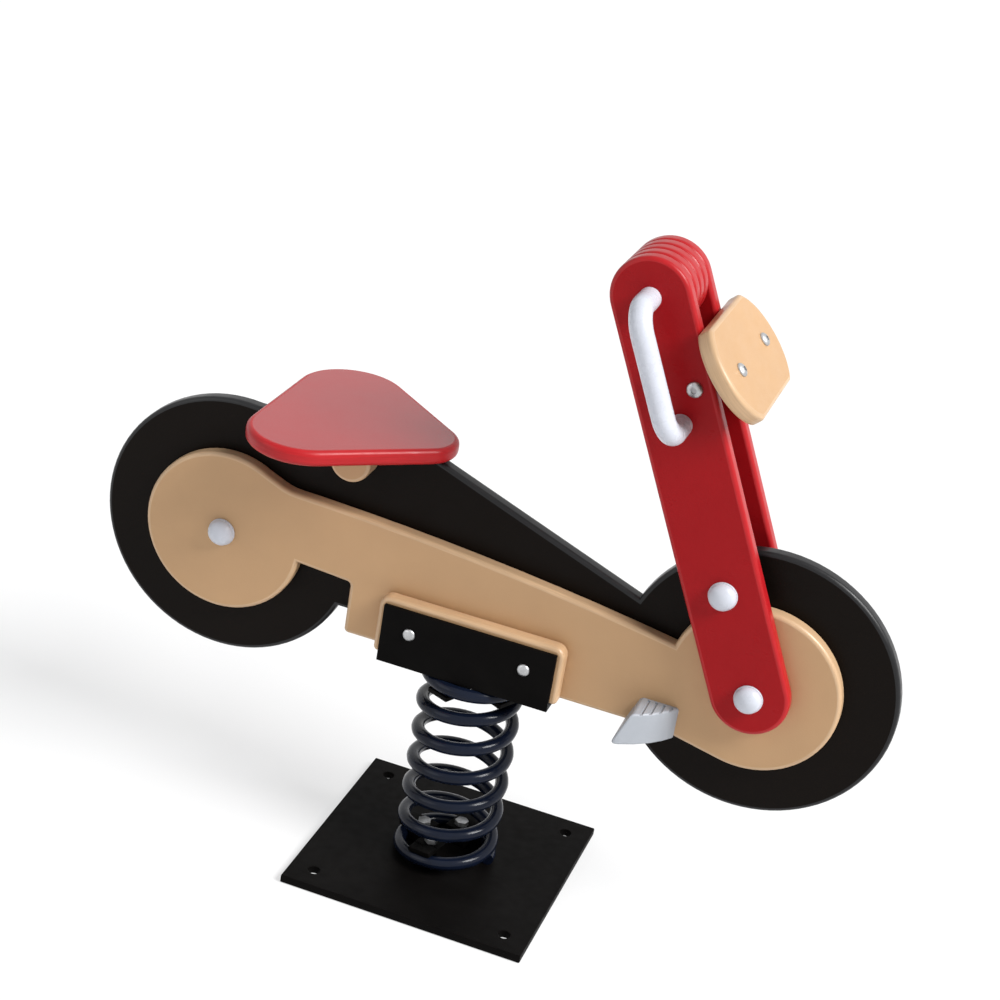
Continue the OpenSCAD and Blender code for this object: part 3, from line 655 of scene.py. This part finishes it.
def round_bolt(name, head, rise, shank, length, socket=0):
    """A bolt with its head above Z = 0 and its shank below."""
    stem = [(shank - SHANK_CHAMFER, -length), (shank, SHANK_CHAMFER - length), (shank, 0)]
    piece = turned(name, zinc, stem + round_head(head, rise))
    if socket:
        bpy.ops.object.select_all(action="DESELECT")
        bpy.ops.mesh.primitive_cylinder_add(vertices=6, radius=socket, depth=rise,
                                            location=(0, 0, SOCKET_MID_SHARE * rise),
                                            rotation=(0, 0, SOCKET_TURN))
        key = bpy.context.object
        bpy.ops.object.transform_apply(location=True, rotation=True, scale=True)
        cut_away(piece, key)
    smooth(piece, angle=35)
    return piece


def cap_nut(name, head, rise):
    """A round cap nut on Z = 0."""
    piece = turned(name, zinc, round_head(head, rise))
    smooth(piece, angle=35)
    return piece


def fasten(pattern, name, node, places, out):
    """Sets copies of one fastener down at their places, and puts the pattern away."""
    fit(gather(name, [set_down(pattern, place, out) for place in places]), node, "rider")
    put_away(pattern)


fasten(round_bolt("headlight_bolt", head=0.008, rise=0.005, shank=0.004, length=0.0315, socket=0.0031),
       "headlight_button_bolts", "headlight_bolts",
       [LIGHT_MID + SHEET * LIGHT_OUT + LIGHT_BOLT_Y * way for way in (RIGHT, LEFT)], LIGHT_OUT)
fasten(round_bolt("cross_bolt", head=0.009, rise=0.006, shank=0.005, length=2 * FORK_FACE, socket=0.0036),
       "headlight_cross_button_bolt", "headlight_cross_bolt", [LIGHT_CROSS + FORK_FACE * RIGHT], RIGHT)
fasten(cap_nut("cross_nut", head=0.009, rise=0.006), "headlight_cross_cap_nut", "headlight_cross_nut",
       [LIGHT_CROSS + FORK_FACE * LEFT], LEFT)
fasten(round_bolt("saddle_bolt", head=0.0075, rise=0.0045, shank=0.004, length=2 * SADDLE_FACE),
       "saddle_round_bolts", "saddle_bolts", [place + SADDLE_FACE * RIGHT for place in SADDLE_BOLTS], RIGHT)
fasten(cap_nut("saddle_nut", head=0.0075, rise=0.0045), "saddle_cap_nuts", "saddle_nuts",
       [place + SADDLE_FACE * LEFT for place in SADDLE_BOLTS], LEFT)

# Footrests: a disc cut off along the panel and at its slanting rear end, with grooves across the tread

FOOT_LOW = 0.2711
FOOT_TALL = 0.04
FOOT_FRONT = 0.249
FOOT_TIP = 0.18775
FOOT_SLANT = 0.0165
SWEEP_R = 0.125
SWEEP_MID = (0.140242, -0.033122)
SWEEP_SIDES = 42
# The disc is turned so that no corner of it lies close to a cut
SWEEP_TURN = math.radians(-1.766)
FOOT_WELD = 0.0005
# An edge is rounded where it turns more than this angle, in radians, and stands off the panel
SHARP = 0.6
OFF_PANEL = 0.0005
REAR_LOW_ROUND, REAR_TOP_ROUND, FOOT_ROUND = 0.007, 0.004, 0.003
GROOVES = 4
GROOVE_GAP = 0.009
GROOVE_W = 0.003
GROOVE_DEEP = 0.0015
GROOVE_END = 0.1
GROOVE_CUT_H = 0.02


def moulded_footrest(name):
    """The left footrest."""
    bpy.ops.object.select_all(action="DESELECT")
    bpy.ops.mesh.primitive_circle_add(vertices=SWEEP_SIDES, radius=SWEEP_R, fill_type="NGON",
                                      rotation=(0, 0, SWEEP_TURN), location=(*SWEEP_MID, FOOT_LOW))
    piece = bpy.context.object
    call_it(piece, name)
    piece.data.materials.append(grey_tread)
    bpy.ops.object.transform_apply(location=True, rotation=True, scale=True)
    bpy.ops.object.mode_set(mode="EDIT")
    bpy.ops.mesh.select_mode(type="EDGE")
    bpy.ops.mesh.select_all(action="SELECT")
    bpy.ops.mesh.extrude_region_move(TRANSFORM_OT_translate={"value": (0, 0, FOOT_TALL)})
    bpy.ops.mesh.select_all(action="SELECT")
    bpy.ops.mesh.normals_make_consistent(inside=False)
    bpy.ops.mesh.bisect(plane_co=(0, SIDE_FACE, 0), plane_no=LEFT, use_fill=True, clear_inner=True)
    bpy.ops.mesh.select_all(action="SELECT")
    bpy.ops.mesh.bisect(plane_co=(FOOT_TIP, 0, FOOT_LOW), plane_no=(FOOT_TALL, 0, -FOOT_SLANT),
                        use_fill=True, clear_inner=True)
    bpy.ops.mesh.select_all(action="SELECT")
    bpy.ops.mesh.remove_doubles(threshold=FOOT_WELD)
    bpy.ops.mesh.normals_make_consistent(inside=False)
    for up, width in ((-1, REAR_LOW_ROUND), (1, REAR_TOP_ROUND)):
        pick(piece, lambda e: e.calc_face_angle(0) > SHARP
             and all(f.normal.z * up > 0.9 or f.normal.x < -0.8 for f in e.link_faces), "edges")
        round_over(width, segments=6)
    pick(piece, lambda e: e.calc_face_angle(0) > SHARP
         and max(v.co.y for v in e.verts) > SIDE_FACE + OFF_PANEL, "edges")
    round_over(FOOT_ROUND)
    bpy.ops.object.mode_set(mode="OBJECT")
    floor_of_groove = FOOT_LOW + FOOT_TALL - GROOVE_DEEP
    for i in range(1, GROOVES + 1):
        rear = FOOT_FRONT - GROOVE_GAP * i
        cut_away(piece, slab("groove", (rear, SIDE_FACE + FOOT_ROUND, floor_of_groove),
                             (rear + GROOVE_W, GROOVE_END, floor_of_groove + GROOVE_CUT_H)))
    smooth(piece, angle=35)
    return piece


def mirrored(piece, name):
    """A copy of a piece for the other side."""
    use(piece)
    bpy.ops.object.duplicate()
    other = bpy.context.object
    other.name = name
    other.scale.y = -1
    bpy.ops.object.transform_apply(location=True, rotation=True, scale=True)
    open_mesh(other, "VERT")
    bpy.ops.mesh.select_all(action="SELECT")
    bpy.ops.mesh.customdata_custom_splitnormals_clear()
    bpy.ops.mesh.normals_make_consistent(inside=False)
    bpy.ops.object.mode_set(mode="OBJECT")
    smooth(other, angle=35)
    return other


rest_left = moulded_footrest("footrest_left_moulded")
rest_right = mirrored(rest_left, "footrest_right_moulded")
fit(rest_left, "footrest_left", "rider")
fit(rest_right, "footrest_right", "rider")

# Seat blocks and grips

BLOCK_ROUND = 0.0045
BLOCK_AXLE_DROP = 0.022
BLOCK_RIM_R = 0.02
END_SLACK, TOP_SLACK = 0.0001, 0.0005


def turned_block(node, name):
    """A seat block turned from bar, with its outer rim rounded over."""
    piece = copy_node(node, name, tan_sheet, tan_routed)
    end = max(abs(v.co.y) for v in piece.data.vertices) - END_SLACK
    top = max(v.co.z for v in piece.data.vertices)
    open_mesh(piece, "EDGE")
    bpy.ops.mesh.select_all(action="SELECT")
    bpy.ops.mesh.dissolve_limited(angle_limit=math.radians(0.5))
    middle = sum(v.co.x for v in piece.data.vertices) / len(piece.data.vertices)
    split_finishes(piece, LEFT)

    def on_rim(vert):
        from_axle = math.hypot(vert.co.x - middle, vert.co.z - (top - BLOCK_AXLE_DROP))
        return abs(vert.co.y) > end and from_axle > BLOCK_RIM_R

    pick(piece, lambda e: all(on_rim(v) for v in e.verts)
         and min(v.co.z for v in e.verts) < top - TOP_SLACK, "edges")
    round_over(BLOCK_ROUND, finish=EDGE)
    bpy.ops.object.mode_set(mode="OBJECT")
    smooth(piece, angle=40)
    return piece


for side in ("right", "left"):
    fit(turned_block(f"seat_block_{side}", f"seat_block_{side}_turned"), f"seat_block_{side}", "rider")
    grip = copy_node(f"handle_{side}", f"grip_{side}", white_grip)
    smooth(grip, angle=40)
    fit(grip, f"handle_{side}", "rider")

# CAD nodes that stay, with their finishes

for finish, kept in (
    (black_sheet, ["fork_low_spacers"]),
    (zinc, ["fork_bolts", "rear_hub_bolt", "handle_rods", "handle_spacer", "headlight_nuts",
            "seat_block_bolt", "seat_block_nut", "seat_screws", "footrest_studs"]),
):
    for node in kept:
        nodes[node].data.materials.clear()
        nodes[node].data.materials.append(finish)


# Floor, light and camera

def background_rays(tree):
    """1 for the rays that see the background: the camera's, and those in gloss and glass."""
    path = tree.nodes.new("ShaderNodeLightPath")
    seen = path.outputs["Is Camera Ray"]
    for kind in ("Is Glossy Ray", "Is Transmission Ray"):
        either = tree.nodes.new("ShaderNodeMath")
        either.operation = "MAXIMUM"
        tree.links.new(seen, either.inputs[0])
        tree.links.new(path.outputs[kind], either.inputs[1])
        seen = either.outputs["Value"]
    return seen


def mixed(tree, share, first, second, surface):
    """Blends two shaders by a share of the second, and puts them on a surface."""
    blend = tree.nodes.new("ShaderNodeMixShader")
    tree.links.new(share, blend.inputs["Fac"])
    tree.links.new(first, blend.inputs[1])
    tree.links.new(second, blend.inputs[2])
    tree.links.new(blend.outputs["Shader"], surface)


FLOOR_SIZE = 60
FLOOR_DROP = 0.0005
FLOOR_GLOW_SHARE = 0.6

bpy.ops.object.select_all(action="DESELECT")
bpy.ops.mesh.primitive_plane_add(size=FLOOR_SIZE, location=(0, 0, -FLOOR_DROP))
floor = bpy.context.object
floor.name = "studio_floor"
paper = bpy.data.materials.new("studio_paper")
paper.use_nodes = True
tree = paper.node_tree
matt = tree.nodes["Principled BSDF"]
matt.inputs["Base Color"].default_value = (0.86, 0.86, 0.86, 1)
matt.inputs["Roughness"].default_value = 0.9
matt.inputs["Specular IOR Level"].default_value = 0.1
glow = tree.nodes.new("ShaderNodeEmission")
glow.inputs["Strength"].default_value = 1.05
glow_share = tree.nodes.new("ShaderNodeMath")
glow_share.operation = "MULTIPLY"
glow_share.inputs[1].default_value = FLOOR_GLOW_SHARE
tree.links.new(background_rays(tree), glow_share.inputs[0])
mixed(tree, glow_share.outputs["Value"], matt.outputs["BSDF"], glow.outputs["Emission"],
      tree.nodes["Material Output"].inputs["Surface"])
floor.data.materials.append(paper)

world = bpy.data.worlds.new("studio")
bpy.context.scene.world = world
world.use_nodes = True
tree = world.node_tree
sky = tree.nodes["Background"]
sky.inputs["Color"].default_value = (0.93, 0.96, 1, 1)
sky.inputs["Strength"].default_value = 0.28
white = tree.nodes.new("ShaderNodeBackground")
white.inputs["Color"].default_value = (1, 1, 1, 1)
mixed(tree, background_rays(tree), sky.outputs["Background"], white.outputs["Background"],
      tree.nodes["World Output"].inputs["Surface"])

KEY_WAY = Vector((-0.7, 0.15, -0.7))
FILL_PLACE = Vector((-2.4, -2.2, 1.8))
FILL_AIM = Vector((0, 0, 0.4))

bpy.ops.object.light_add(type="SUN")
key = bpy.context.object
key.name = "key_lamp"
key.data.energy = 4.4
key.data.angle = math.radians(28)
key.rotation_mode = "QUATERNION"
key.rotation_quaternion = KEY_WAY.to_track_quat("-Z", "Y")

bpy.ops.object.light_add(type="AREA", location=FILL_PLACE)
fill = bpy.context.object
fill.name = "fill_lamp"
fill.data.shape = "DISK"
fill.data.size = 2.2
fill.data.energy = 13
fill.rotation_mode = "QUATERNION"
fill.rotation_quaternion = (FILL_AIM - FILL_PLACE).to_track_quat("-Z", "Y")

bpy.ops.object.camera_add()
camera = bpy.context.object
camera.name = "photo_camera"
camera.matrix_world = Matrix((
    (0.93433, -0.26449, 0.23888, 0.5649),
    (0.32134, 0.33527, -0.88563, -2.1446),
    (0.15415, 0.90423, 0.39825, 1.5025),
    (0, 0, 0, 1),
))
camera.data.sensor_width = 36
camera.data.lens = 77.81
camera.data.shift_y = -0.045
bpy.context.scene.camera = camera
bpy.context.scene.view_settings.view_transform = "Standard"
